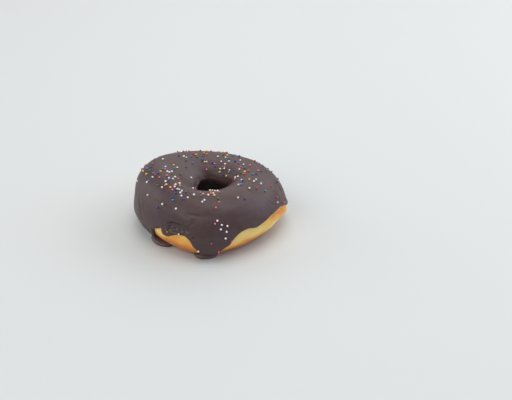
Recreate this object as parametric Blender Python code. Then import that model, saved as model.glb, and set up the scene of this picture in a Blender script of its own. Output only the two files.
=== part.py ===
"""Frosted ring doughnut: a raised dough ring and the chocolate frosting that coats it.

Units are metres, +Z up. The doughnut lies on its flat underside at z = 0 and
its front, where the frosting has run down to the table, faces -Y.

Every point of the ring is given by two angles:
  bearing  round the hole, 0 at +X, anticlockwise seen from above
  section  round the dough's own section, 0 at the outer equator, 90 on the
           crown, 180 at the hole's wall, -90 underneath
"""
import math

import bmesh
import bpy
import numpy as np

MM = 0.001

# ---------------------------------------------------------------- dough ring
RING_CENTRE = (-2.9, -0.1)            # mm, axis of the ring in the part's frame
# outer radius of the bare dough, mm, every 30 degrees of bearing from 0
OUTER_RADIUS = (53.5, 53.0, 52.0, 51.0, 51.0, 51.0, 49.0, 46.5, 48.0, 51.0, 50.5, 52.0)
# height of the crown, mm, every 60 degrees of bearing
CROWN_HEIGHT = (35.0, 33.5, 36.5, 41.0, 39.0, 36.0)
# height of the equator (widest level) over the table, mm, every 45 degrees
EQUATOR_HEIGHT = (11.0, 13.5, 14.5, 16.0, 12.5, 14.5, 10.0, 14.5)
HOLE_OFFSET = (4.1, 0.7)             # mm, the hole's own centre from the ring's axis
# radius of the dough's hole wall at its waist, the narrowest level, mm, every 45 degrees
HOLE_RADIUS = (13.9, 12.6, 13.6, 13.1, 12.3, 16.8, 16.7, 13.1)
WAIST_HEIGHT = (24.6, 25.3, 27.8, 24.7)  # mm over the table, every 90 degrees
FUNNEL_POWER = (2.54, 2.33, 1.35, 1.73)  # fullness of the hole's mouth over the waist, every 90 degrees
THROAT_POWER = 1.5                   # fullness of the hole's wall under the waist
SPINE = (6.6, 0.47)                  # crown line: mm from the axis, and share of the outer radius
SIDE_POWER = 2.2                     # fullness of the section sideways
CROWN_POWER = 2.3                    # fullness of the upper half
UNDER_POWER = 1.9                    # fullness of the lower half
SETTLE = 0.5                         # mm the round underside is pressed flat

# local swellings and hollows:
# bearing, section, half widths in degrees of both, height in mm (- is a hollow)
RELIEF = (
    (246.0, 15.0, 11.0, 13.0, -1.8),   # dent in the front left shoulder
    (166.0, 16.0, 15.0, 11.0, -1.3),   # fold between the two left lobes
    (196.0, -14.0, 16.0, 16.0, -0.6),  # flat of the lower left lobe
    (355.0, -2.0, 12.0, 14.0, 2.2),    # swollen belly at the right end
    (262.0, 46.0, 14.0, 8.0, -0.6),    # shallow crease above the front
    (216.0, -18.0, 8.0, 14.0, -1.0),   # tuck under the end of the left lobe
    (344.0, -20.0, 9.0, 13.0, -1.8),   # right end drawn in underneath
    (322.0, -34.0, 16.0, 13.0, -0.7),  # and the front right with it
    (305.0, 48.0, 26.0, 11.0, 0.6),    # fuller shoulder at the front right
)

# ----------------------------------------------------------------- frosting
FROSTING = 1.5                       # mm, thickness of the coat
GAP = 0.56                           # mm, clearance between frosting and dough
LIP = 7.0                            # degrees of section over which an edge rounds off
CLEAR = 0.15                         # mm, the coat's own edge stays off the table
# where the coat ends outside: bearing, section angle
OUTER_EDGE = (
    (8, -12), (20, -26), (50, -22), (85, -30), (120, -22), (150, -36), (168, -52),
    (182, -58), (206, -58), (214, -55), (218, -30), (221, -8), (224, 0.5), (228, 4.5),
    (231, 6), (232, 1), (234.5, -2.5), (238, -0.5), (242, 2.5), (246, 6.5), (252, 10),
    (256, 6.5), (258.7, 2), (260.8, -3), (262.4, -9), (263.6, -22), (265.3, -50),
    (268, -64), (274, -64), (277.5, -42), (281, -14), (286, -2),
    (291, 7), (297, 12.5), (303, 11.5), (311, 9), (318, 10), (325, 12.5),
    (334, 16.5), (341, 16), (347, 12), (352, 9), (358, 3),
)
# where the coat ends inside the hole: bearing, section angle
HOLE_EDGE = ((20, 224), (80, 230), (140, 222), (200, 228), (260, 223), (320, 229))

# puddled feet on the table: centre, half length and half width in mm, turn in
# degrees, height in mm, squareness of the outline
FEET = (
    ("front", (-3.9, -42.5), 7.7, 6.6, 4.0, 3.2, 2.4),
    ("left", (-30.8, -23.5), 10.4, 9.0, 128.0, 3.0, 2.2),
)

# ------------------------------------------------------------ mesh fineness
# columns of the coat: bearing from, bearing to, step in degrees
COLUMNS = ((213.0, 255.0, 3.5), (255.0, 285.0, 1.875), (285.0, 345.0, 5.0), (345.0, 573.0, 6.0))
DOUGH_STEP = 6.0
DOUGH_ROWS = 24
COAT_ROWS = 11
INNER_ROWS = 24


def closed_curve(values, angle):
    """Smooth curve through evenly spaced values round the full circle."""
    values = np.asarray(values, float)
    n = len(values)
    terms = np.fft.rfft(values) / n
    out = np.full(np.shape(angle), terms[0].real)
    for k in range(1, len(terms)):
        share = 1.0 if (n % 2 == 0 and k == n // 2) else 2.0
        out = out + share * (terms[k].real * np.cos(k * angle) - terms[k].imag * np.sin(k * angle))
    return out


def edge_curve(pairs, angle):
    """Monotone cubic through (bearing, section) pairs, repeated round the circle."""
    x = np.array([p[0] for p in pairs], float)
    y = np.array([p[1] for p in pairs], float)
    x = np.concatenate([x - 360.0, x, x + 360.0])
    y = np.tile(y, 3)
    h = np.diff(x)
    d = np.diff(y) / h
    slope = np.zeros_like(x)
    for i in range(1, len(x) - 1):
        if d[i - 1] * d[i] > 0:
            a, b = 2 * h[i] + h[i - 1], h[i] + 2 * h[i - 1]
            slope[i] = (a + b) / (a / d[i - 1] + b / d[i])
    q = np.mod(np.degrees(angle), 360.0)
    i = np.clip(np.searchsorted(x, q) - 1, 0, len(x) - 2)
    t = (q - x[i]) / h[i]
    value = ((1 + 2 * t) * (1 - t) ** 2) * y[i] + t * (1 - t) ** 2 * h[i] * slope[i]
    value = value + t * t * (3 - 2 * t) * y[i + 1] + t * t * (t - 1) * h[i] * slope[i + 1]
    return np.radians(value)


def relief(bearing, section):
    """Height of the local swellings and hollows, mm."""
    out = np.zeros(np.broadcast(bearing, section).shape)
    for b0, s0, wb, ws, height in RELIEF:
        db = (np.degrees(bearing) - b0 + 180.0) % 360.0 - 180.0
        ds = (np.degrees(section) - s0 + 180.0) % 360.0 - 180.0
        out = out + height * np.exp(-(db / wb) ** 2 - (ds / ws) ** 2)
    return out


def ring_point(bearing, section):
    """Point on the plain dough ring, mm, before the underside is pressed flat."""
    outer = closed_curve(OUTER_RADIUS, bearing)
    crown = closed_curve(CROWN_HEIGHT, bearing)
    equator = closed_curve(EQUATOR_HEIGHT, bearing)
    wall = closed_curve(HOLE_RADIUS, bearing)
    waist = closed_curve(WAIST_HEIGHT, bearing)
    funnel = closed_curve(FUNNEL_POWER, bearing)
    spine = SPINE[0] + SPINE[1] * outer
    c, s = np.cos(section), np.sin(section)
    out, up = c > 0, s > 0
    level = np.where(out, equator, waist)
    across = np.where(out, SIDE_POWER, np.where(up, funnel, THROAT_POWER))
    upright = np.where(
        up, np.where(out, CROWN_POWER, funnel), np.where(out, UNDER_POWER, THROAT_POWER)
    )
    share = np.abs(c) ** (2 / across)
    # from the crown line out to the side, or in to the hole's wall about the hole's own centre
    shift = np.where(out, 0.0, share)
    rho = np.where(out, spine + (outer - spine) * share, spine + (wall - spine) * share)
    z = np.where(
        up,
        level + (crown - level) * np.abs(s) ** (2 / upright),
        level - (level + SETTLE) * np.abs(s) ** (2 / upright),
    )
    return np.stack(
        [
            RING_CENTRE[0] + HOLE_OFFSET[0] * shift + rho * np.cos(bearing),
            RING_CENTRE[1] + HOLE_OFFSET[1] * shift + rho * np.sin(bearing),
            z,
        ],
        -1,
    )


def ring_normal(bearing, section):
    """Outward direction of the plain ring."""
    along = ring_point(bearing + 1e-3, section) - ring_point(bearing - 1e-3, section)
    round_ = ring_point(bearing, section + 6e-3) - ring_point(bearing, section - 6e-3)
    n = np.cross(along, round_)
    return n / np.linalg.norm(n, axis=-1, keepdims=True)


def surface(bearing, section, rise):
    """Point a given height over the finished dough, mm."""
    height = (relief(bearing, section) + rise)[..., None]
    return ring_point(bearing, section) + height * ring_normal(bearing, section)


def bearings():
    """Columns of the coat, closest together beside the front run."""
    return np.radians(np.concatenate([np.arange(a, b, step) for a, b, step in COLUMNS]))


def torus_mesh(name, points):
    """Closed quad mesh through points[column][row], both directions closed."""
    columns, rows = points.shape[:2]
    bm = bmesh.new()
    verts = [[bm.verts.new(points[i, j] * MM) for j in range(rows)] for i in range(columns)]
    for i in range(columns):
        for j in range(rows):
            k, m = (i + 1) % columns, (j + 1) % rows
            bm.faces.new((verts[i][j], verts[k][j], verts[k][m], verts[i][m]))
    bmesh.ops.recalc_face_normals(bm, faces=bm.faces)
    bmesh.ops.triangulate(bm, faces=bm.faces, quad_method="SHORT_EDGE")
    mesh = bpy.data.meshes.new(name)
    bm.to_mesh(mesh)
    bm.free()
    return mesh


def dough_points(step, rows, rise=0.0, floor=0.0):
    """Grid over the whole dough, raised by `rise` and kept over `floor`."""
    bearing = np.radians(np.arange(0.0, 360.0, step))
    section = np.radians(-90.0 + 360.0 * (np.arange(rows) + 0.5) / rows)
    b, s = np.meshgrid(bearing, section, indexing="ij")
    p = surface(b, s, np.full(b.shape, rise))
    p[..., 2] = np.maximum(p[..., 2], floor)
    return p


def frosting_points():
    """Closed section of the coat at each bearing: outer face, then inner face."""
    b = bearings()
    start, end = edge_curve(OUTER_EDGE, b), edge_curve(HOLE_EDGE, b)
    lip = math.radians(LIP)
    # shares of the lip, then even steps over the crown, then the other lip
    near = np.array([0.0, 0.10, 0.38])
    rows = []
    for x in near:
        rows.append((start + x * lip, math.sqrt(1 - (1 - x) ** 2)))
    for k in range(COAT_ROWS):
        t = k / (COAT_ROWS - 1)
        rows.append((start + lip + t * (end - start - 2 * lip), 1.0))
    for x in near[::-1]:
        rows.append((end - x * lip, math.sqrt(1 - (1 - x) ** 2)))
    columns = []
    for section, share in rows:
        rise = np.full(b.shape, GAP + 0.25 + (FROSTING - 0.25) * share)
        columns.append(surface(b, section, rise))
    for k in range(INNER_ROWS):
        t = k / (INNER_ROWS - 1)
        columns.append(surface(b, end + t * (start - end), np.full(b.shape, GAP)))
    p = np.stack(columns, 1)
    p[..., 2] = np.maximum(p[..., 2], CLEAR)
    return p


def foot_mesh(name, centre, length, width, turn, height, power, sides=36):
    """Low rounded puddle: rings of a squarish ellipse, drawn in as they rise."""
    levels = ((0.93, 0.0), (1.0, 0.16), (1.0, 0.42), (0.95, 0.68), (0.84, 0.88), (0.62, 1.0))
    turn = math.radians(turn)
    bm = bmesh.new()
    rings = []
    for scale, share in levels:
        ring = []
        for i in range(sides):
            a = 2 * math.pi * i / sides
            c, s = math.cos(a), math.sin(a)
            x = scale * length * math.copysign(abs(c) ** (2 / power), c)
            y = scale * width * math.copysign(abs(s) ** (2 / power), s)
            ring.append(bm.verts.new((
                (centre[0] + x * math.cos(turn) - y * math.sin(turn)) * MM,
                (centre[1] + x * math.sin(turn) + y * math.cos(turn)) * MM,
                share * height * MM,
            )))
        rings.append(ring)
    for lower, upper in zip(rings, rings[1:]):
        for i in range(sides):
            k = (i + 1) % sides
            bm.faces.new((lower[i], lower[k], upper[k], upper[i]))
    bm.faces.new(list(reversed(rings[0])))
    bm.faces.new(rings[-1])
    bmesh.ops.recalc_face_normals(bm, faces=bm.faces)
    mesh = bpy.data.meshes.new(name)
    bm.to_mesh(mesh)
    bm.free()
    return mesh


def material(name, colour, roughness):
    mat = bpy.data.materials.new(name)
    mat.use_nodes = True
    shader = mat.node_tree.nodes["Principled BSDF"]
    shader.inputs["Base Color"].default_value = (*colour, 1.0)
    shader.inputs["Roughness"].default_value = roughness
    shader.inputs["Metallic"].default_value = 0.0
    return mat


def add(name, mesh, mat=None):
    obj = bpy.data.objects.new(name, mesh)
    bpy.context.scene.collection.objects.link(obj)
    if mat:
        mesh.materials.append(mat)
    mesh.shade_smooth()
    return obj


def cutter(name, mesh):
    obj = add(name, mesh)
    obj.hide_render = True
    obj.display_type = "WIRE"
    return obj


def boolean(obj, other, operation):
    mod = obj.modifiers.new(operation.title() + " " + other.name, "BOOLEAN")
    mod.operation = operation
    mod.solver = "EXACT"
    mod.object = other


def main():
    for obj in list(bpy.data.objects):
        bpy.data.objects.remove(obj, do_unlink=True)

    crust = material("fried dough", (0.58, 0.33, 0.13), 0.6)
    chocolate = material("chocolate frosting", (0.085, 0.06, 0.058), 0.4)

    add("dough", torus_mesh("dough", dough_points(DOUGH_STEP, DOUGH_ROWS)), crust)

    frosting = add("frosting", torus_mesh("frosting", frosting_points()), chocolate)
    # the dough, grown by a little more than the coat's clearance, hollows the feet
    swollen = cutter(
        "swollen_dough",
        torus_mesh("swollen_dough", dough_points(DOUGH_STEP, DOUGH_ROWS + 8, GAP + 0.12, -2.0)),
    )
    for name, centre, length, width, turn, height, power in FEET:
        foot = cutter(
            name + "_foot",
            foot_mesh(name + "_foot", centre, length, width, turn, height, power),
        )
        boolean(foot, swollen, "DIFFERENCE")
        boolean(frosting, foot, "UNION")


main()
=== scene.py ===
"""Looks of the sprinkle frosted doughnut: dough ring, chocolate coat with its run and puddled feet, and the beads."""
import math

import bmesh
import bpy
import numpy as np
from mathutils import Matrix, Vector, kdtree
from mathutils.bvhtree import BVHTree


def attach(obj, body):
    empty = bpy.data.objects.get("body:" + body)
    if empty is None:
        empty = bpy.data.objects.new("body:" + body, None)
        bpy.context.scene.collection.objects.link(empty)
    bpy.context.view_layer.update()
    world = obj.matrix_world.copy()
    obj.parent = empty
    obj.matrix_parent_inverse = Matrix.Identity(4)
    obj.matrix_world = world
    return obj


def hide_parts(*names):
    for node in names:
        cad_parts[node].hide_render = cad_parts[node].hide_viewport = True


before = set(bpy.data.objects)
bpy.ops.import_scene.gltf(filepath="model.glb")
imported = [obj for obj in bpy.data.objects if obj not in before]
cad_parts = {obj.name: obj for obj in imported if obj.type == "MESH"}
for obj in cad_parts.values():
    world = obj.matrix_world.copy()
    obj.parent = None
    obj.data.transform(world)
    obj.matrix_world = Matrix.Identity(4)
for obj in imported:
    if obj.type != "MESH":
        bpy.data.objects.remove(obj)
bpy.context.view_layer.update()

MM = 0.001

# form: begin
# ------------------------------------------------------------------ sizes, mm
# Same sizes as the CAD solids: bearing is the angle round the hole (0 at +X), section the angle
# round the dough's own section (0 outer equator, 90 crown, 180 hole wall, -90 underneath).
RING_CENTRE = (-2.9, -0.1)
OUTER_RADIUS = (53.5, 53.0, 52.0, 51.0, 51.0, 51.0, 49.0, 46.5, 48.0, 51.0, 50.5, 52.0)
CROWN_HEIGHT = (35.0, 33.5, 36.5, 41.0, 39.0, 36.0)
EQUATOR_HEIGHT = (11.0, 13.5, 14.5, 16.0, 12.5, 14.5, 10.0, 14.5)
HOLE_OFFSET = (4.1, 0.7)
HOLE_RADIUS = (13.9, 12.6, 13.6, 13.1, 12.3, 16.8, 16.7, 13.1)
WAIST_HEIGHT = (24.6, 25.3, 27.8, 24.7)
FUNNEL_POWER = (2.54, 2.33, 1.35, 1.73)
THROAT_POWER = 1.5
SPINE = (6.6, 0.47)
SIDE_POWER = 2.2
CROWN_POWER = 2.3
UNDER_POWER = 1.9
SETTLE = 0.5
RELIEF = (
    (246.0, 15.0, 11.0, 13.0, -1.8),
    (166.0, 16.0, 15.0, 11.0, -1.3),
    (196.0, -14.0, 16.0, 16.0, -0.6),
    (355.0, -2.0, 12.0, 14.0, 2.2),
    (262.0, 46.0, 14.0, 8.0, -0.6),
    (216.0, -18.0, 8.0, 14.0, -1.0),
    (344.0, -20.0, 9.0, 13.0, -1.8),
    (322.0, -34.0, 16.0, 13.0, -0.7),
    (305.0, 48.0, 26.0, 11.0, 0.6),
)
OUTER_EDGE = (
    (8, -12), (20, -26), (50, -22), (85, -30), (120, -22), (150, -36), (168, -52),
    (182, -58), (206, -58), (214, -55), (218, -30), (221, -8), (224, 0.5), (228, 4.5),
    (231, 6), (232, 1), (234.5, -2.5), (238, -0.5), (242, 2.5), (246, 6.5), (252, 10),
    (256, 6.5), (258.7, 2), (260.8, -3), (262.4, -9), (263.6, -22), (265.3, -50),
    (268, -64), (274, -64), (277.5, -42), (281, -14), (286, -2),
    (291, 7), (297, 12.5), (303, 11.5), (311, 9), (318, 10), (325, 12.5),
    (334, 16.5), (341, 16), (347, 12), (352, 9), (358, 3),
)
HOLE_EDGE = ((20, 224), (80, 230), (140, 222), (200, 228), (260, 223), (320, 229))
FEET = (
    ((-3.9, -42.5), 7.7, 6.6, 4.0, 3.2, 2.4),
    ((-30.8, -23.5), 10.4, 9.0, 128.0, 3.0, 2.2),
)
COAT = 1.75                          # frosting over the dough, mm
LIP = 1.7                            # length over which an edge of the coat rounds off, mm
SINK = 0.35                          # the coat's hidden face lies this far in the dough, mm

# fine relief of the coat: bearing, section, half length, half width in mm, turn in degrees
# from the bearing direction, height in mm (- is a groove or pit)
MARKS = (
    # crease above the front and the soft swellings beside it
    (261.0, 44.2, 5.2, 1.0, -2.0, -0.36),
    (256.5, 44.2, 3.0, 0.9, 8.0, -0.15),
    (262.0, 49.5, 6.0, 1.7, 0.0, 0.35),
    (257.0, 37.5, 2.6, 2.2, 30.0, 0.45),
    (270.0, 38.0, 5.0, 2.0, -10.0, 0.25),
    # long shallow ridge over the left shoulder, with a scratch at its end
    (228.0, 45.0, 9.0, 0.9, 4.0, 0.30),
    (229.0, 40.5, 9.0, 1.6, 4.0, -0.22),
    (240.0, 45.5, 1.3, 0.4, -30.0, 0.35),
    # ridges down the left lobe
    (198.5, 19.0, 6.5, 0.9, 128.0, 0.30),
    (205.0, 21.0, 6.0, 0.9, 120.0, 0.24),
    (201.5, 20.0, 6.5, 0.8, 124.0, -0.20),
    # wrinkles round the right end of the dent, and pits beside it
    (256.5, 29.0, 1.6, 0.45, 65.0, 0.45),
    (258.0, 25.5, 1.8, 0.40, 35.0, 0.45),
    (257.2, 27.0, 1.6, 0.40, 50.0, -0.40),
    (259.0, 21.0, 1.6, 0.40, 5.0, 0.30),
    (260.2, 11.5, 1.0, 0.75, 20.0, -1.00),
    (257.5, 14.0, 0.7, 0.55, 0.0, -0.55),
    (262.0, 16.0, 0.8, 0.5, 60.0, 0.25),
    # wrinkles at the right tip
    (326.0, 34.0, 3.4, 0.8, -62.0, 0.24),
    (328.5, 33.0, 3.2, 0.8, -60.0, -0.18),
    (331.5, 33.0, 3.4, 0.9, -64.0, 0.20),
    (344.0, 33.0, 5.0, 1.6, 78.0, 0.22),
    # nub and notch at the right end
    (355.0, 9.0, 5.0, 3.6, 0.0, -0.65),
    (352.5, 17.0, 1.6, 1.1, 80.0, 0.55),
    (353.5, 36.0, 1.8, 1.6, 0.0, -0.75),
    # lumps on the dent's floor
    (243.5, 14.5, 2.6, 0.55, 6.0, 0.45),
    (248.5, 14.0, 1.6, 0.50, -20.0, 0.40),
    # pits
    (291.0, 61.0, 0.6, 0.5, 0.0, -0.22),
    (337.5, 56.5, 0.6, 0.5, 0.0, -0.30),
    (226.0, 62.0, 0.5, 0.4, 0.0, -0.30),
    # wrinkles on the hole's left wall
    (176.0, 167.0, 1.5, 0.55, 85.0, -0.50),
    (188.0, 168.0, 1.6, 0.55, 100.0, -0.45),
    (158.0, 165.0, 1.4, 0.50, 70.0, -0.40),
    (168.0, 158.0, 1.8, 0.60, 85.0, 0.30),
    (183.0, 160.0, 2.0, 0.70, 95.0, 0.30),
    # crease between the hole's left wall and its front rim
    (209.0, 168.0, 3.2, 0.6, 55.0, -0.75),
    # dimple where the front run meets its foot
    (269.2, -26.0, 3.6, 0.9, 2.0, -0.55),
)
# browning of the crust round the ring: bearing, section of the palest line, and how many
# degrees below and above it the crust is fully brown
FRY_AT = (0, 20, 90, 180, 222, 231, 237, 245, 258, 285, 300, 315, 330, 345, 355, 360)
FRY_MIDDLE = (-8, -8, -6, -4, -5, -3, 14, 28, 24, 4, 8, -1, -8, -11, -8, -8)
FRY_LOWER = (46, 46, 50, 48, 34, 30, 38, 50, 48, 36, 38, 40, 56, 64, 50, 46)
FRY_UPPER = (16, 24, 40, 40, 40, 40, 40, 40, 40, 40, 34, 24, 19, 17, 16, 16)
# browner and paler patches: bearing, section, half length, half width mm, turn, strength
SCORCH = (
    (311.0, -38.0, 3.2, 0.9, 0.0, 0.50),
    (336.0, 9.0, 2.6, 0.7, -25.0, 0.22),
    (341.0, 3.0, 2.2, 0.6, 20.0, 0.20),
    (344.5, 9.0, 1.4, 0.6, 40.0, 0.22),
    (331.0, 2.0, 2.8, 0.6, -12.0, 0.22),
    (327.0, 8.0, 1.6, 0.6, 10.0, 0.15),
    (349.0, 1.0, 1.2, 0.6, 60.0, 0.20),
    (321.0, 2.0, 2.4, 0.6, -5.0, 0.15),
    (337.0, 5.5, 2.0, 0.4, -10.0, -0.18),
    (347.0, 5.0, 1.4, 0.4, 30.0, -0.18),
)
# the dent with a torn, lumpy floor: bearing, section, half length and half width in mm,
# turn in degrees, depth in mm
DENT = (247.3, 17.3, 8.4, 4.4, 9.0, 1.20)
TAU = 2.0 * math.pi
STEP_B, STEP_S = 0.25, 0.5           # degrees, fineness of the form tables


def closed_curve(values, angle):
    values = np.asarray(values, float)
    n = len(values)
    terms = np.fft.rfft(values) / n
    out = np.full(np.shape(angle), terms[0].real)
    for k in range(1, len(terms)):
        share = 1.0 if (n % 2 == 0 and k == n // 2) else 2.0
        out = out + share * (terms[k].real * np.cos(k * angle) - terms[k].imag * np.sin(k * angle))
    return out


def edge_curve(pairs, angle):
    x = np.array([p[0] for p in pairs], float)
    y = np.array([p[1] for p in pairs], float)
    x = np.concatenate([x - 360.0, x, x + 360.0])
    y = np.tile(y, 3)
    h = np.diff(x)
    d = np.diff(y) / h
    slope = np.zeros_like(x)
    for i in range(1, len(x) - 1):
        if d[i - 1] * d[i] > 0:
            a, b = 2 * h[i] + h[i - 1], h[i] + 2 * h[i - 1]
            slope[i] = (a + b) / (a / d[i - 1] + b / d[i])
    q = np.mod(np.degrees(angle), 360.0)
    i = np.clip(np.searchsorted(x, q) - 1, 0, len(x) - 2)
    t = (q - x[i]) / h[i]
    value = ((1 + 2 * t) * (1 - t) ** 2) * y[i] + t * (1 - t) ** 2 * h[i] * slope[i]
    value = value + t * t * (3 - 2 * t) * y[i + 1] + t * t * (t - 1) * h[i] * slope[i + 1]
    return np.radians(value)


# section sizes tabled once round the ring, then read by interpolation
ROUND = np.linspace(0.0, TAU, 1441)
T_OUTER = closed_curve(OUTER_RADIUS, ROUND)
T_CROWN = closed_curve(CROWN_HEIGHT, ROUND)
T_EQUATOR = closed_curve(EQUATOR_HEIGHT, ROUND)
T_WALL = closed_curve(HOLE_RADIUS, ROUND)
T_WAIST = closed_curve(WAIST_HEIGHT, ROUND)
T_FUNNEL = closed_curve(FUNNEL_POWER, ROUND)


def section_sizes(bearing, out):
    """Crown line, half width, level, crown height and fullness on the outer or the hole's side."""
    b = np.mod(bearing, TAU)
    outer = np.interp(b, ROUND, T_OUTER)
    crown = np.interp(b, ROUND, T_CROWN)
    spine = SPINE[0] + SPINE[1] * outer
    side = np.where(out, outer - spine, spine - np.interp(b, ROUND, T_WALL))
    level = np.where(out, np.interp(b, ROUND, T_EQUATOR), np.interp(b, ROUND, T_WAIST))
    return spine, side, level, crown, np.interp(b, ROUND, T_FUNNEL)


def section_powers(out, up, funnel):
    across = np.where(out, SIDE_POWER, np.where(up, funnel, THROAT_POWER))
    upright = np.where(
        up, np.where(out, CROWN_POWER, funnel), np.where(out, UNDER_POWER, THROAT_POWER)
    )
    return across, upright


def ring_point(bearing, section):
    c, s = np.cos(section), np.sin(section)
    out, up = c > 0, s > 0
    spine, side, level, crown, funnel = section_sizes(bearing, out)
    across, upright = section_powers(out, up, funnel)
    share = np.abs(c) ** (2 / across)
    shift = np.where(out, 0.0, share)
    rho = spine + np.where(out, side, -side) * share
    z = np.where(
        up,
        level + (crown - level) * np.abs(s) ** (2 / upright),
        level - (level + SETTLE) * np.abs(s) ** (2 / upright),
    )
    return np.stack(
        [
            RING_CENTRE[0] + HOLE_OFFSET[0] * shift + rho * np.cos(bearing),
            RING_CENTRE[1] + HOLE_OFFSET[1] * shift + rho * np.sin(bearing),
            z,
        ],
        -1,
    )


def ring_normal(bearing, section):
    along = ring_point(bearing + 1e-3, section) - ring_point(bearing - 1e-3, section)
    round_ = ring_point(bearing, section + 6e-3) - ring_point(bearing, section - 6e-3)
    n = np.cross(along, round_)
    return n / np.linalg.norm(n, axis=-1, keepdims=True)


def turn_near(a, a0):
    return (np.degrees(a) - a0 + 180.0) % 360.0 - 180.0


def relief(bearing, section):
    out = np.zeros(np.broadcast(bearing, section).shape)
    for b0, s0, wb, ws, height in RELIEF:
        out = out + height * np.exp(
            -((turn_near(bearing, b0) / wb) ** 2) - (turn_near(section, s0) / ws) ** 2
        )
    return out


def noise(p, size, seed):
    """Smooth seeded value noise between -1 and 1, features about `size` mm across."""
    rng = np.random.RandomState(seed)
    lattice = rng.uniform(-1.0, 1.0, (32, 32, 32))
    q = np.asarray(p) / size + rng.uniform(0.0, 32.0, 3)
    i = np.floor(q).astype(int)
    f = q - i
    f = f * f * f * (f * (f * 6 - 15) + 10)
    out = 0.0
    for a in (0, 1):
        for b in (0, 1):
            for c in (0, 1):
                w = (
                    (f[..., 0] if a else 1 - f[..., 0])
                    * (f[..., 1] if b else 1 - f[..., 1])
                    * (f[..., 2] if c else 1 - f[..., 2])
                )
                out = out + w * lattice[
                    (i[..., 0] + a) % 32, (i[..., 1] + b) % 32, (i[..., 2] + c) % 32
                ]
    return out


def scale_at(b0, s0):
    """Millimetres per radian of bearing and of section at one place on the ring."""
    b, s = math.radians(b0), math.radians(s0)
    e = 0.02
    along = np.linalg.norm(ring_point(np.array(b + e), np.array(s)) - ring_point(np.array(b - e), np.array(s)))
    round_ = np.linalg.norm(ring_point(np.array(b), np.array(s + e)) - ring_point(np.array(b), np.array(s - e)))
    return along / (2 * e), round_ / (2 * e)


def place_mm(bearing, section, b0, s0):
    """Rough millimetres along the bearing and the section from one place on the ring."""
    mb, ms = scale_at(b0, s0)
    return np.radians(turn_near(bearing, b0)) * mb, np.radians(turn_near(section, s0)) * ms


def mark(bearing, section, b0, s0, length, width, turn, height):
    x, y = place_mm(bearing, section, b0, s0)
    c, s = math.cos(math.radians(turn)), math.sin(math.radians(turn))
    u, v = x * c + y * s, -x * s + y * c
    return height * np.exp(-((u / length) ** 2) - (v / width) ** 2)


def smooth(a, b, x):
    t = np.clip((x - a) / (b - a), 0.0, 1.0)
    return t * t * (3 - 2 * t)


# the form tables: one value every STEP_B by STEP_S degrees over the whole ring
B_AXIS = np.radians(np.arange(0.0, 360.0 + 1e-6, STEP_B))
S_AXIS = np.radians(np.arange(-90.0, 270.0 + 1e-6, STEP_S))
B_GRID, S_GRID = np.meshgrid(B_AXIS, S_AXIS, indexing="ij")
P_GRID = ring_point(B_GRID, S_GRID)


def read(table, bearing, section):
    """Bilinear reading of a form table."""
    u = np.mod(bearing, TAU) / math.radians(STEP_B)
    v = (np.mod(section + 0.5 * math.pi, TAU)) / math.radians(STEP_S)
    i = np.minimum(u.astype(int), table.shape[0] - 2)
    j = np.minimum(v.astype(int), table.shape[1] - 2)
    u, v = u - i, v - j
    return (
        table[i, j] * (1 - u) * (1 - v)
        + table[i + 1, j] * u * (1 - v)
        + table[i, j + 1] * (1 - u) * v
        + table[i + 1, j + 1] * u * v
    )


def edge_distance(pairs, sign):
    """Signed distance in mm from an edge of the coat, + on the coat, as a form table."""
    b = np.radians(np.arange(0.0, 360.0, 0.2))
    s = edge_curve(pairs, b)
    s = s + wobble(b)
    curve = ring_point(b, s)
    tree = kdtree.KDTree(len(curve))
    for k, p in enumerate(curve):
        tree.insert(Vector(p), k)
    tree.balance()
    # on a coarser grid, then filled in
    cb, cs = B_GRID[::2, ::2], S_GRID[::2, ::2]
    pts = P_GRID[::2, ::2]
    edge = (edge_curve(pairs, cb[:, 0]) + wobble(cb[:, 0]))[:, None]
    gap = (cs - edge) * sign
    dist = np.where(gap > 0, 30.0, -30.0)
    near = np.abs(gap) < math.radians(75.0)
    found = np.fromiter((tree.find(p)[2] for p in pts[near].tolist()), float, int(near.sum()))
    dist[near] = np.sign(gap[near]) * found
    u = np.arange(B_GRID.shape[0]) / 2.0
    v = np.arange(B_GRID.shape[1]) / 2.0
    i = np.minimum(u.astype(int), dist.shape[0] - 2)
    j = np.minimum(v.astype(int), dist.shape[1] - 2)
    u, v = (u - i)[:, None], (v - j)[None, :]
    return (
        dist[i][:, j] * (1 - u) * (1 - v)
        + dist[i + 1][:, j] * u * (1 - v)
        + dist[i][:, j + 1] * (1 - u) * v
        + dist[i + 1][:, j + 1] * u * v
    )


def wobble(b):
    """Small waves of the coat's edge, in radians of section."""
    d = np.degrees(b)
    return np.radians(
        0.9 * np.sin(np.radians(d * 9 + 40))
        + 0.7 * np.sin(np.radians(d * 17 + 10))
        + 0.4 * np.sin(np.radians(d * 31 + 70))
    )


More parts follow.
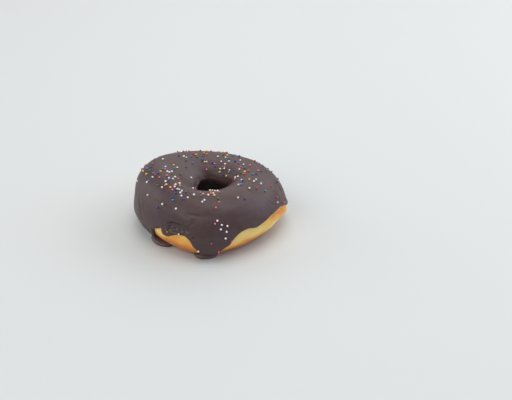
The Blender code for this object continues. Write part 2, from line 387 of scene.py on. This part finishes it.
def locate(p):
    """Bearing, section and height over the plain ring of points p (mm)."""
    dx, dy, z = p[..., 0] - RING_CENTRE[0], p[..., 1] - RING_CENTRE[1], p[..., 2]
    rho = np.hypot(dx, dy)
    bearing = np.mod(np.arctan2(dy, dx), TAU)
    outer = np.interp(bearing, ROUND, T_OUTER)
    out = rho > SPINE[0] + SPINE[1] * outer
    # on the hole's side the bearing turns about a centre that moves towards the hole's own
    share = np.zeros(np.shape(rho))
    for _ in range(5):
        spine, side, level, crown, funnel = section_sizes(bearing, out)
        share = np.where(out, 0.0, np.clip((spine - rho) / side, 0.0, 1.6))
        ex, ey = dx - HOLE_OFFSET[0] * share, dy - HOLE_OFFSET[1] * share
        rho = np.hypot(ex, ey)
        bearing = np.mod(np.arctan2(ey, ex), TAU)
    spine, side, level, crown, funnel = section_sizes(bearing, out)
    u = (rho - spine) / side
    up = z > level
    b = np.where(up, crown - level, level + SETTLE)
    v = (z - level) / b
    n, m = section_powers(out, up, funnel)
    au, av = np.abs(u) + 1e-6, np.abs(v) + 1e-6
    big_a, big_b = au ** n, av ** m
    total = big_a + big_b
    k = 2.0 / (n + m)
    g = total ** k
    outer_part = k * g / total
    gr = outer_part * n * big_a / au / side
    gz = outer_part * m * big_b / av / b
    height = (g - 1.0) / (np.hypot(gr, gz) + 1e-9)
    section = np.arctan2(np.sign(v) * np.sqrt(big_b), np.sign(u) * np.sqrt(big_a))
    section = np.where(section < -0.5 * math.pi, section + TAU, section)
    return bearing, section, height


def foot_field(p, centre, length, width, turn, height, power):
    """Implicit height of one puddled foot: below 0 inside, in rough mm."""
    c, s = math.cos(math.radians(turn)), math.sin(math.radians(turn))
    dx, dy = p[..., 0] - centre[0], p[..., 1] - centre[1]
    x, y = dx * c + dy * s, -dx * s + dy * c
    e = ((np.abs(x) / length) ** power + (np.abs(y) / width) ** power) ** (1.0 / power)
    core = 0.62
    edge = np.maximum(e - core, 0.0) / (1.0 - core)
    level = 0.36 * height
    z = p[..., 2] - level
    v = np.where(z > 0, z / (height - level), -z / (1.6 * level))
    return (np.sqrt(edge ** 2.2 + np.abs(v) ** 2.2 + 1e-9) - 1.0) * (height - level)


def melt(a, b, k):
    """Smooth union of two fields."""
    h = np.clip(0.5 + 0.5 * (b - a) / k, 0.0, 1.0)
    return b * (1 - h) + a * h - k * h * (1 - h)
# form: end


# ------------------------------------------------------------- form tables
# lumps that dough and coat share, and the coat's own thickness
LUMPS = relief(B_GRID, S_GRID) + 0.28 * noise(P_GRID, 17.0, 3) + 0.12 * noise(P_GRID, 8.0, 4)
# the hole's wall draws back under its waist
LUMPS -= 1.4 * np.exp(-(((np.degrees(S_GRID) - 204.0) / 14.0) ** 2))
DISTANCE = np.minimum(edge_distance(OUTER_EDGE, 1.0), edge_distance(HOLE_EDGE, -1.0))
THICKNESS = np.full(B_GRID.shape, COAT)
THICKNESS += 0.10 * noise(P_GRID, 9.0, 5) + 0.05 * noise(P_GRID, 3.5, 6)
# the coat swells a little along its own edge
THICKNESS += 0.22 * np.exp(-(((DISTANCE - 2.2) / 1.5) ** 2))
# in the hole it hangs as a lip at the waist and thins under it
S_DEGREES = np.degrees(S_GRID)
THICKNESS += 0.45 * np.exp(-(((S_DEGREES - 177.0) / 7.0) ** 2))
THICKNESS -= 0.75 * smooth(184.0, 194.0, S_DEGREES)
for _m in MARKS:
    THICKNESS += mark(B_GRID, S_GRID, *_m)
# the torn dent: steep above, open below, with lumps on its floor
_x, _y = place_mm(B_GRID, S_GRID, DENT[0], DENT[1])
_c, _s = math.cos(math.radians(DENT[4])), math.sin(math.radians(DENT[4]))
_u, _v = (_x * _c + _y * _s) / DENT[2], (-_x * _s + _y * _c) / DENT[3]
_ragged = 0.16 * noise(P_GRID, 3.2, 11) + 0.08 * noise(P_GRID, 1.5, 12)
_reach = np.sqrt(_u * _u + _v * _v + 1e-9) + _ragged
TORN = (1.0 - smooth(0.80, 1.02, _reach)) * (np.abs(_x) < 25) * (np.abs(_y) < 16)
THICKNESS -= DENT[5] * TORN * (0.30 + 0.70 * smooth(-0.50, 0.15, _v))
THICKNESS -= 0.35 * TORN * np.exp(-(((_v + 0.68) / 0.13) ** 2))
THICKNESS += TORN * (0.34 * noise(P_GRID, 2.4, 13) + 0.26 * noise(P_GRID, 1.3, 14))
# the front run thins where it turns under the dough, down to its foot
THICKNESS -= 1.20 * smooth(-22.0, -46.0, S_DEGREES) * smooth(257.0, 263.0, np.degrees(B_GRID)) * smooth(283.0, 277.0, np.degrees(B_GRID))
THICKNESS = np.maximum(THICKNESS, 0.42)


def coat_field(p):
    """The frosting as an implicit solid: below 0 inside, in rough mm. Also its hidden-side field."""
    bearing, section, height = locate(p)
    rise = height - read(LUMPS, bearing, section)
    inside = read(DISTANCE, bearing, section)
    thick = read(THICKNESS, bearing, section)
    q = np.maximum(LIP - inside, 0.0) / LIP
    coat = (np.sqrt(q * q + (rise / thick) ** 2 + 1e-9) - 1.0) * thick
    for foot in FEET:
        coat = melt(coat, foot_field(p, *foot), 0.28)
    hidden = -SINK - rise
    return np.maximum(np.maximum(coat, hidden), -p[..., 2]), hidden


def surface_net(low, high, pitch):
    """Quad mesh of coat_field = 0 on a regular lattice, pulled onto the exact form."""
    axes = [np.arange(low[k], high[k] + pitch, pitch) for k in range(3)]
    shape = tuple(len(a) for a in axes)
    field = np.empty(shape, np.float32)
    # slab by slab, to keep memory small
    for i0 in range(0, shape[0], 24):
        i1 = min(i0 + 24, shape[0])
        g = np.stack(np.meshgrid(axes[0][i0:i1], axes[1], axes[2], indexing="ij"), -1)
        field[i0:i1] = coat_field(g)[0]
    inside = field < 0
    nx, ny, nz = shape
    cells = (nx - 1, ny - 1, nz - 1)
    corner = np.zeros(cells, np.int16)
    for a in (0, 1):
        for b in (0, 1):
            for c in (0, 1):
                corner += inside[a : nx - 1 + a, b : ny - 1 + b, c : nz - 1 + c]
    mixed = (corner > 0) & (corner < 8)
    number = np.full(cells, -1, np.int64)
    number[mixed] = np.arange(int(mixed.sum()))
    total = int(mixed.sum())
    place = np.zeros((total, 3))
    count = np.zeros(total)
    quads = []
    for axis in range(3):
        cut = [slice(None)] * 3
        cut[axis] = slice(0, -1)
        nxt = [slice(None)] * 3
        nxt[axis] = slice(1, None)
        a, b = inside[tuple(cut)], inside[tuple(nxt)]
        cross = a != b
        idx = np.argwhere(cross)
        fa = field[tuple(cut)][cross]
        fb = field[tuple(nxt)][cross]
        t = fa / (fa - fb)
        pos = idx.astype(float)
        pos[:, axis] += t
        o1, o2 = [k for k in range(3) if k != axis]
        ring = []
        for d1, d2 in ((-1, -1), (0, -1), (0, 0), (-1, 0)):
            cell = idx.copy()
            cell[:, o1] += d1
            cell[:, o2] += d2
            ok = np.all((cell >= 0) & (cell < np.array(cells)), axis=1)
            ids = np.full(len(cell), -1, np.int64)
            ids[ok] = number[cell[ok, 0], cell[ok, 1], cell[ok, 2]]
            good = ids >= 0
            for k in range(3):
                place[:, k] += np.bincount(ids[good], pos[good, k], total)
            count += np.bincount(ids[good], minlength=total)
            ring.append(ids)
        ring = np.stack(ring, 1)
        whole = np.all(ring >= 0, axis=1)
        first = a[cross]
        flip = first if axis != 1 else ~first
        ring = np.where(flip[:, None], ring, ring[:, ::-1])
        quads.append(ring[whole])
    place /= count[:, None]
    place = np.array(low) + place * pitch
    faces = np.concatenate(quads)
    e = 0.02
    for _ in range(3):
        f = coat_field(place)[0]
        grad = np.stack(
            [
                (coat_field(place + np.eye(3)[k] * e)[0] - coat_field(place - np.eye(3)[k] * e)[0]) / (2 * e)
                for k in range(3)
            ],
            -1,
        )
        size = np.sum(grad * grad, -1)
        step = -(f / np.maximum(size, 0.05))[:, None] * grad
        length = np.linalg.norm(step, axis=-1, keepdims=True)
        place = place + step * np.minimum(1.0, 0.3 * pitch / np.maximum(length, 1e-9))
    return place, faces


def mesh_from(name, points, faces):
    """Mesh object from points in mm and equal-sized faces."""
    mesh = bpy.data.meshes.new(name)
    n, sides = faces.shape
    mesh.vertices.add(len(points))
    mesh.vertices.foreach_set("co", (np.asarray(points, float) * MM).astype(np.float32).ravel())
    mesh.loops.add(n * sides)
    mesh.loops.foreach_set("vertex_index", faces.astype(np.int32).ravel())
    mesh.polygons.add(n)
    mesh.polygons.foreach_set("loop_start", np.arange(0, n * sides, sides, dtype=np.int32))
    mesh.polygons.foreach_set("loop_total", np.full(n, sides, dtype=np.int32))
    mesh.update(calc_edges=True)
    mesh.validate()
    mesh.shade_smooth()
    obj = bpy.data.objects.new(name, mesh)
    bpy.context.scene.collection.objects.link(obj)
    return obj


def paint(obj, name, values):
    """One number for each vertex, kept on the mesh; the materials read some of these."""
    layer = obj.data.attributes.new(name, "FLOAT", "POINT")
    layer.data.foreach_set("value", np.asarray(values, np.float32))


# ---------------------------------------------------------------- the pieces
def make_frosting():
    points, faces = surface_net((-55.2, -55.2, -0.5), (55.2, 55.2, 45.0), 0.5)
    obj = mesh_from("frosting_coat", points, faces)
    bearing, section, height = locate(points)
    paint(obj, "edge", np.clip(read(DISTANCE, bearing, section) / 10.0, 0.0, 1.0))
    paint(obj, "torn", read(TORN, bearing, section))
    # painted shade: the depth of the hole and the crease behind its front rim, where the coat's colour is darkened to
    # stand in for the shade that falls there
    s = np.degrees(section)
    deep = smooth(183.0, 192.0, s)
    deep = np.maximum(deep, smooth(152.0, 162.0, s) * np.exp(-((turn_near(bearing, 212.0) / 9.0) ** 2)))
    paint(obj, "deep", deep)
    # painted light: the thin puddles on the table, made paler in colour to stand in for the light their upturned tops
    # catch
    paint(obj, "pool_painted_light", 1.0 - smooth(2.6, 4.6, points[:, 2]))
    return obj


def fried(bearing, section, points):
    """How deep the crust is browned: 0 in the palest belt, 1 on the fried underside."""
    s = np.degrees(section)
    d = np.mod(np.degrees(bearing), 360.0)
    middle = np.interp(d, FRY_AT, FRY_MIDDLE)
    lower = np.interp(d, FRY_AT, FRY_LOWER)
    upper = np.interp(d, FRY_AT, FRY_UPPER)
    below = smooth(0.0, 1.0, (middle - s) / lower)
    above = smooth(0.0, 1.0, (s - middle) / upper)
    value = 0.95 * below + 0.60 * above
    value = value + 0.10 * noise(points, 6.0, 41) + 0.07 * noise(points, 2.2, 42)
    for b0, s0, length, width, turn, height in SCORCH:
        value = value + mark(bearing, section, b0, s0, length, width, turn, height)
    return np.clip(value, 0.0, 1.0)


def make_dough():
    columns = 480
    section = [-90.0]
    while section[-1] < 266.9:
        s = section[-1]
        section.append(s + (1.25 if -75 <= s < 30 else 3.0))
    section = np.radians(np.array(section))
    bearing = np.linspace(0.0, TAU, columns, endpoint=False)
    b, s = np.meshgrid(bearing, section, indexing="ij")
    p = ring_point(b, s)
    rise = read(LUMPS, b, s)
    p = p + rise[..., None] * ring_normal(b, s)
    p[..., 2] = np.maximum(p[..., 2], 0.0)
    rows = len(section)
    i = np.arange(columns)[:, None]
    j = np.arange(rows)[None, :]
    k, m = (i + 1) % columns, (j + 1) % rows
    faces = np.stack(
        [i * rows + j, k * rows + j, k * rows + m, i * rows + m], -1
    ).reshape(-1, 4)
    obj = mesh_from("dough_ring", p.reshape(-1, 3), faces)
    d = np.degrees(b)
    belt = np.interp(
        d.ravel(), [0, 90, 180, 225, 255, 290, 305, 325, 345, 360], [-12, -6, -2, 2, 3, 6, 5, -4, -16, -12]
    ).reshape(b.shape)
    paint(obj, "belt", np.clip(((np.degrees(s) - belt) / 90.0 + 1.0) / 2.0, 0, 1).ravel())
    paint(obj, "edge", np.clip(-read(DISTANCE, b, s) / 12.0, 0.0, 1.0).ravel())
    paint(obj, "fried", fried(b, s, p).ravel())
    return obj


# ------------------------------------------------------------------- beads
BEAD = 0.66                          # mean radius of a sugar bead, mm
# beads by colour: linear colour, then the bearing and section of each, in whole degrees
BEADS = {
    "white": ((0.94, 0.94, 0.91), (
        (155, 85), (177, 101), (167, 122), (192, 103), (194, 107), (188, 114), (197, 69),
        (198, 56), (212, 89), (208, 112), (216, 97), (215, 80), (219, 67), (228, 101),
        (228, 87), (230, 82), (235, 81), (237, 82), (241, 82), (241, 77), (244, 72), (251, 73),
        (209, 41), (256, 82), (176, 152), (268, 74), (266, 70), (272, 86), (230, 43),
        (244, 47), (96, 121), (124, 96), (123, 102), (181, 40), (245, 117), (74, 91),
        (63, 90), (67, 108), (55, 99), (58, 113), (64, 136), (54, 131), (39, 130), (43, 86),
        (30, 92), (20, 112), (359, 136), (356, 126), (338, 109), (320, 100), (344, 83),
        (339, 84), (339, 72), (323, 79), (302, 70), (336, 29), (278, 93), (272, 116),
        (280, 110), (284, 106), (278, 39), (281, 32), (285, 29), (280, 26), (284, 21),
        (283, 12), (248, 10), (264, -5),
    )),
    "yellow": ((0.86, 0.60, 0.09), (
        (164, 114), (192, 86), (185, 62), (175, 56), (220, 76), (227, 76), (233, 90),
        (266, 88), (100, 122), (104, 91), (120, 71), (89, 65), (64, 81), (63, 147),
        (37, 152), (8, 104), (342, 92), (279, 86), (276, 113),
    )),
    "cyan": ((0.045, 0.26, 0.50), (
        (174, 64), (185, 92), (174, 119), (190, 74), (198, 60), (124, 124), (238, 58),
        (264, 84), (101, 108), (114, 99), (58, 90), (36, 138), (358, 90), (324, 97),
        (342, 73), (333, 58), (15, 61), (59, 74),
    )),
    "blue": ((0.030, 0.045, 0.36), (
        (174, 72), (194, 81), (216, 84), (234, 78), (237, 72), (236, 61), (247, 67),
        (226, 34), (128, 89), (102, 116), (84, 120), (78, 132), (47, 92), (19, 98), (359, 85),
        (336, 104), (308, 64), (359, 46), (52, 154), (52, 72),
    )),
    "purple": ((0.30, 0.07, 0.42), ((39, 94), (24, 61), (30, 61))),
    "pink": ((0.80, 0.13, 0.26), (
        (186, 99), (205, 90), (213, 116), (220, 73), (227, 85), (231, 74), (103, 148),
        (262, 92), (80, 123), (24, 86), (8, 80), (349, 136), (286, 95), (275, 96),
        (276, 35),
    )),
    "red": ((0.52, 0.045, 0.105), (
        (166, 72), (195, 75), (248, 119), (107, 87), (107, 93), (60, 126), (26, 103), (344, 56),
        (339, 36), (36, 62), (329, 71), (344, 20), (273, 8), (287, 6), (278, -17),
    )),
    "orange": ((0.80, 0.17, 0.045), (
        (203, 78), (93, 86), (89, 88), (275, 90), (56, 124), (9, 95), (0, 108), (282, 70),
        (278, 60), (38, 68), (278, -9), (239, 8),
    )),
    "green": ((0.015, 0.19, 0.045), (
        (181, 68), (212, 65), (198, 110), (186, 131), (130, 113), (148, 131), (246, 84),
        (97, 98), (106, 101), (69, 81), (58, 136), (8, 116), (9, 75), (282, 78), (238, 10),
        (327, 18),
    )),
}
# a few more on the far slope: bearing from and to, section from and to, how many
FAR_SLOPE = ((48.0, 128.0, 34.0, 72.0, 26), (10.0, 48.0, 20.0, 52.0, 7), (128.0, 172.0, 22.0, 60.0, 9))


def make_beads(coat):
    """Sugar beads lying on the coat, one mesh for each colour."""
    rng = np.random.RandomState(21)
    tree = BVHTree.FromPolygons(
        [v.co.copy() for v in coat.data.vertices], [tuple(f.vertices) for f in coat.data.polygons]
    )
    places = {name: [(float(b), float(s)) for b, s in spots] for name, (_, spots) in BEADS.items()}
    names = list(BEADS)
    share = np.array([len(places[n]) for n in names], float)
    for b0, b1, s0, s1, count in FAR_SLOPE:
        for _ in range(count):
            name = names[rng.choice(len(names), p=share / share.sum())]
            places[name].append((rng.uniform(b0, b1), rng.uniform(s0, s1)))
    bm = bmesh.new()
    bmesh.ops.create_icosphere(bm, subdivisions=3, radius=1.0)
    ball = np.array([v.co for v in bm.verts])
    tris = np.array([[v.index for v in f.verts] for f in bm.faces])
    bm.free()
    out = []
    for name in names:
        points, faces = [], []
        for bearing, section in places[name]:
            b, s = np.radians([bearing]), np.radians([section])
            at = ring_point(b, s)[0] + ring_normal(b, s)[0] * 2.5
            hit, normal, _, _ = tree.find_nearest(Vector(at * MM))
            radius = BEAD * rng.uniform(0.90, 1.08)
            centre = np.array(hit) / MM + np.array(normal) * radius * rng.uniform(0.45, 0.75)
            # sugar beads are never quite round
            axis = rng.normal(size=3)
            axis /= np.linalg.norm(axis)
            shape = ball * (1.0 + rng.uniform(-0.10, 0.06) * (ball @ axis)[:, None] ** 2)
            shape = shape * (1.0 + 0.03 * noise(ball * 1.1 + rng.uniform(0, 30, 3), 0.9, 31)[:, None])
            faces.append(tris + len(ball) * len(points))
            points.append(centre + shape * radius)
        out.append((name, mesh_from("beads_" + name, np.concatenate(points), np.concatenate(faces))))
    return out


# ---------------------------------------------------------------- materials
def new_material(name):
    mat = bpy.data.materials.new(name)
    mat.use_nodes = True
    tree = mat.node_tree
    return mat, tree, tree.nodes["Principled BSDF"]


def node(tree, kind, **values):
    n = tree.nodes.new(kind)
    for key, value in values.items():
        if key.startswith("in_"):
            n.inputs[key[3:].replace("_", " ")].default_value = value
        else:
            setattr(n, key, value)
    return n


def ramp(tree, fac, stops, mode="EASE"):
    n = tree.nodes.new("ShaderNodeValToRGB")
    n.color_ramp.interpolation = mode
    while len(n.color_ramp.elements) < len(stops):
        n.color_ramp.elements.new(0.5)
    for e, (pos, colour) in zip(n.color_ramp.elements, stops):
        e.position = pos
        e.color = (*colour, 1.0) if len(colour) == 3 else colour
    tree.links.new(fac, n.inputs["Fac"])
    return n


def noise_node(tree, vector, scale, detail=3.0, rough=0.55):
    n = node(tree, "ShaderNodeTexNoise")
    n.inputs["Scale"].default_value = scale
    n.inputs["Detail"].default_value = detail
    n.inputs["Roughness"].default_value = rough
    tree.links.new(vector, n.inputs["Vector"])
    return n


def mix(tree, fac, a, b, blend="MIX"):
    n = tree.nodes.new("ShaderNodeMix")
    n.data_type = "RGBA"
    n.blend_type = blend
    for value, index in ((fac, 0), (a, 6), (b, 7)):
        if isinstance(value, (int, float)):
            n.inputs[index].default_value = value
        elif isinstance(value, tuple):
            n.inputs[index].default_value = (*value, 1.0)
        else:
            tree.links.new(value, n.inputs[index])
    return n.outputs[2]


def maths(tree, operation, a, b=None):
    n = tree.nodes.new("ShaderNodeMath")
    n.operation = operation
    for k, value in enumerate((a, b)):
        if value is None:
            continue
        if isinstance(value, (int, float)):
            n.inputs[k].default_value = value
        else:
            tree.links.new(value, n.inputs[k])
    return n.outputs[0]


def bump(tree, height, strength, distance, after=None):
    n = tree.nodes.new("ShaderNodeBump")
    n.inputs["Strength"].default_value = strength
    n.inputs["Distance"].default_value = distance
    tree.links.new(height, n.inputs["Height"])
    if after is not None:
        tree.links.new(after, n.inputs["Normal"])
    return n.outputs["Normal"]


def frosting_material():
    mat, tree, shader = new_material("set_chocolate")
    coord = node(tree, "ShaderNodeTexCoord").outputs["Object"]
    torn = node(tree, "ShaderNodeAttribute", attribute_name="torn").outputs["Fac"]
    deep = node(tree, "ShaderNodeAttribute", attribute_name="deep").outputs["Fac"]
    pool_painted_light = node(tree, "ShaderNodeAttribute", attribute_name="pool_painted_light").outputs["Fac"]
    cloud = noise_node(tree, coord, 55.0, 3.0)
    mottle = noise_node(tree, coord, 260.0, 3.0)
    # broad clouds of a bluish bloom over a warmer brown, with a finer mottle
    colour = ramp(tree, cloud.outputs["Fac"], [(0.32, (0.058, 0.025, 0.024)), (0.68, (0.062, 0.035, 0.042))])
    fine_colour = ramp(tree, mottle.outputs["Fac"], [(0.3, (0.036, 0.018, 0.018)), (0.7, (0.086, 0.045, 0.049))])
    colour = mix(tree, 0.25, colour.outputs["Color"], fine_colour.outputs["Color"])
    # painted light: the puddles are paled towards a lighter brown
    colour = mix(tree, maths(tree, "MULTIPLY", pool_painted_light, 0.8), colour, (0.112, 0.060, 0.061))
    # painted shade: the dent's recessed floor is darkened a little in colour
    colour = mix(tree, maths(tree, "MULTIPLY", torn, 0.25), colour, (0.038, 0.019, 0.018))
    # painted shade: the hole's depth and the crease behind its front rim are darkened towards near black
    colour = mix(tree, maths(tree, "MULTIPLY", deep, 0.85), colour, (0.020, 0.008, 0.007))
    tree.links.new(colour, shader.inputs["Base Color"])
    rough = ramp(tree, mottle.outputs["Fac"], [(0.3, (0.45,) * 3), (0.7, (0.53,) * 3)], "LINEAR")
    rough = mix(tree, maths(tree, "MULTIPLY", torn, 0.9), rough.outputs["Color"], (0.24, 0.24, 0.24))
    tree.links.new(rough, shader.inputs["Roughness"])
    shader.inputs["Specular IOR Level"].default_value = 0.5
    fine = noise_node(tree, coord, 900.0, 2.0)
    medium = noise_node(tree, coord, 320.0, 2.0)
    n1 = bump(tree, medium.outputs["Fac"], 0.25, 0.0003)
    tree.links.new(bump(tree, fine.outputs["Fac"], 0.15, 0.0001, n1), shader.inputs["Normal"])
    return mat


def dough_material():
    mat, tree, shader = new_material("fried_dough")
    coord = node(tree, "ShaderNodeTexCoord").outputs["Object"]
    brown = node(tree, "ShaderNodeAttribute", attribute_name="fried").outputs["Fac"]
    cloud = noise_node(tree, coord, 240.0, 4.0)
    shift = maths(tree, "MULTIPLY", maths(tree, "SUBTRACT", cloud.outputs["Fac"], 0.5), 0.36)
    where = maths(tree, "ADD", brown, shift)
    # from the pale belt to the fried crust
    colour = ramp(
        tree,
        where,
        [
            (0.00, (0.87, 0.64, 0.24)),
            (0.18, (0.86, 0.57, 0.165)),
            (0.42, (0.82, 0.43, 0.095)),
            (0.68, (0.70, 0.27, 0.055)),
            (0.95, (0.54, 0.18, 0.036)),
        ],
        "LINEAR",
    )
    tree.links.new(colour.outputs["Color"], shader.inputs["Base Color"])
    shader.inputs["Roughness"].default_value = 0.55
    shader.inputs["Specular IOR Level"].default_value = 0.35
    shader.inputs["Subsurface Weight"].default_value = 0.15
    shader.inputs["Subsurface Radius"].default_value = (1.0, 0.5, 0.2)
    shader.inputs["Subsurface Scale"].default_value = 0.002
    fine = noise_node(tree, coord, 700.0, 3.0)
    skin = noise_node(tree, coord, 230.0, 2.0)
    n1 = bump(tree, skin.outputs["Fac"], 0.4, 0.0006)
    tree.links.new(bump(tree, fine.outputs["Fac"], 0.3, 0.0002, n1), shader.inputs["Normal"])
    return mat


def bead_material(name, colour):
    """Sugar shell: satin, its colour a little uneven from bead to bead."""
    mat, tree, shader = new_material("sugar_" + name)
    coord = node(tree, "ShaderNodeTexCoord").outputs["Object"]
    cloud = noise_node(tree, coord, 420.0, 1.0)
    pale = tuple(min(1.0, c * 1.12 + 0.03) for c in colour)
    deep = tuple(c * 0.80 for c in colour)
    tint = ramp(tree, cloud.outputs["Fac"], [(0.30, deep), (0.70, pale)], "LINEAR")
    tree.links.new(tint.outputs["Color"], shader.inputs["Base Color"])
    shader.inputs["Roughness"].default_value = 0.38
    shader.inputs["Specular IOR Level"].default_value = 0.5
    fine = noise_node(tree, coord, 2600.0, 2.0)
    tree.links.new(bump(tree, fine.outputs["Fac"], 0.25, 0.00005), shader.inputs["Normal"])
    return mat


def simple_material(name, colour, roughness):
    mat, tree, shader = new_material(name)
    shader.inputs["Base Color"].default_value = (*colour, 1.0)
    shader.inputs["Roughness"].default_value = roughness
    return mat


frosting = make_frosting()
frosting.data.materials.append(frosting_material())
dough = make_dough()
dough.data.materials.append(dough_material())

for piece, cad, slot in ((frosting, "frosting", "frosting"), (dough, "dough", "dough")):
    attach(piece, "root")
    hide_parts(cad)

for name, beads in make_beads(frosting):
    beads.data.materials.append(bead_material(name, BEADS[name][0]))
    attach(beads, "root")

# ------------------------------------------------------------- floor, light
floor_mesh = bpy.data.meshes.new("floor")
bm = bmesh.new()
bmesh.ops.create_grid(bm, x_segments=1, y_segments=1, size=6.0)
bm.to_mesh(floor_mesh)
bm.free()
floor = bpy.data.objects.new("floor", floor_mesh)
bpy.context.scene.collection.objects.link(floor)
floor_mesh.materials.append(simple_material("pale_floor", (0.62, 0.648, 0.652), 0.6))

world = bpy.data.worlds.new("studio")
world.use_nodes = True
world.node_tree.nodes["Background"].inputs["Color"].default_value = (1.0, 0.99, 0.98, 1.0)
world.node_tree.nodes["Background"].inputs["Strength"].default_value = 0.36
bpy.context.scene.world = world


def area(name, place, aim, size, power, colour):
    data = bpy.data.lights.new(name, "AREA")
    data.shape = "DISK"
    data.size = size
    data.energy = power
    data.color = colour
    obj = bpy.data.objects.new(name, data)
    obj.location = place
    obj.rotation_euler = (Vector(aim) - Vector(place)).to_track_quat("-Z", "Y").to_euler()
    bpy.context.scene.collection.objects.link(obj)


# soft lights round the table: azimuth, elevation, width in m, power in W, colour
for name, azimuth, elevation, size, power, colour in (
    ("top", 60.0, 86.0, 1.2, 9.0, (1.02, 1.0, 0.98)),
    ("right", 0.0, 26.0, 1.2, 8.2, (0.93, 0.97, 1.10)),
    ("back_right", 45.0, 32.0, 1.2, 6.2, (1.0, 1.0, 1.0)),
    ("back", 90.0, 30.0, 1.2, 3.4, (1.03, 1.0, 0.95)),
    ("left", 160.0, 20.0, 1.2, 6.6, (1.0, 1.0, 1.0)),
    ("front_left", 225.0, 36.0, 1.2, 7.6, (1.04, 1.0, 0.96)),
):
    a, e = math.radians(azimuth), math.radians(elevation)
    spot = Vector((math.cos(a) * math.cos(e), math.sin(a) * math.cos(e), math.sin(e))) * 1.6
    area(name, spot + Vector((0, 0, 0.02)), (0, 0, 0.02), size, power, colour)

# ------------------------------------------------------------------- camera
camera_data = bpy.data.cameras.new("camera")
camera_data.sensor_width = 36.0
camera_data.lens = 817.3 / 512.0 * 36.0
camera_data.clip_start = 0.01
camera_data.clip_end = 50.0
camera = bpy.data.objects.new("camera", camera_data)
axis_right = Vector((0.998245, -0.057818, 0.012793))
axis_down = Vector((-0.017765, -0.498500, -0.866708))
axis_ahead = Vector((0.056488, 0.864959, -0.498652))
turn = Matrix((axis_right, -axis_down, -axis_ahead)).transposed()
camera.matrix_world = Matrix.Translation((-0.0007, -0.49264, 0.3)) @ turn.to_4x4()
bpy.context.scene.collection.objects.link(camera)
bpy.context.scene.camera = camera

bpy.context.scene.view_settings.view_transform = "Standard"
bpy.context.scene.view_settings.look = "None"
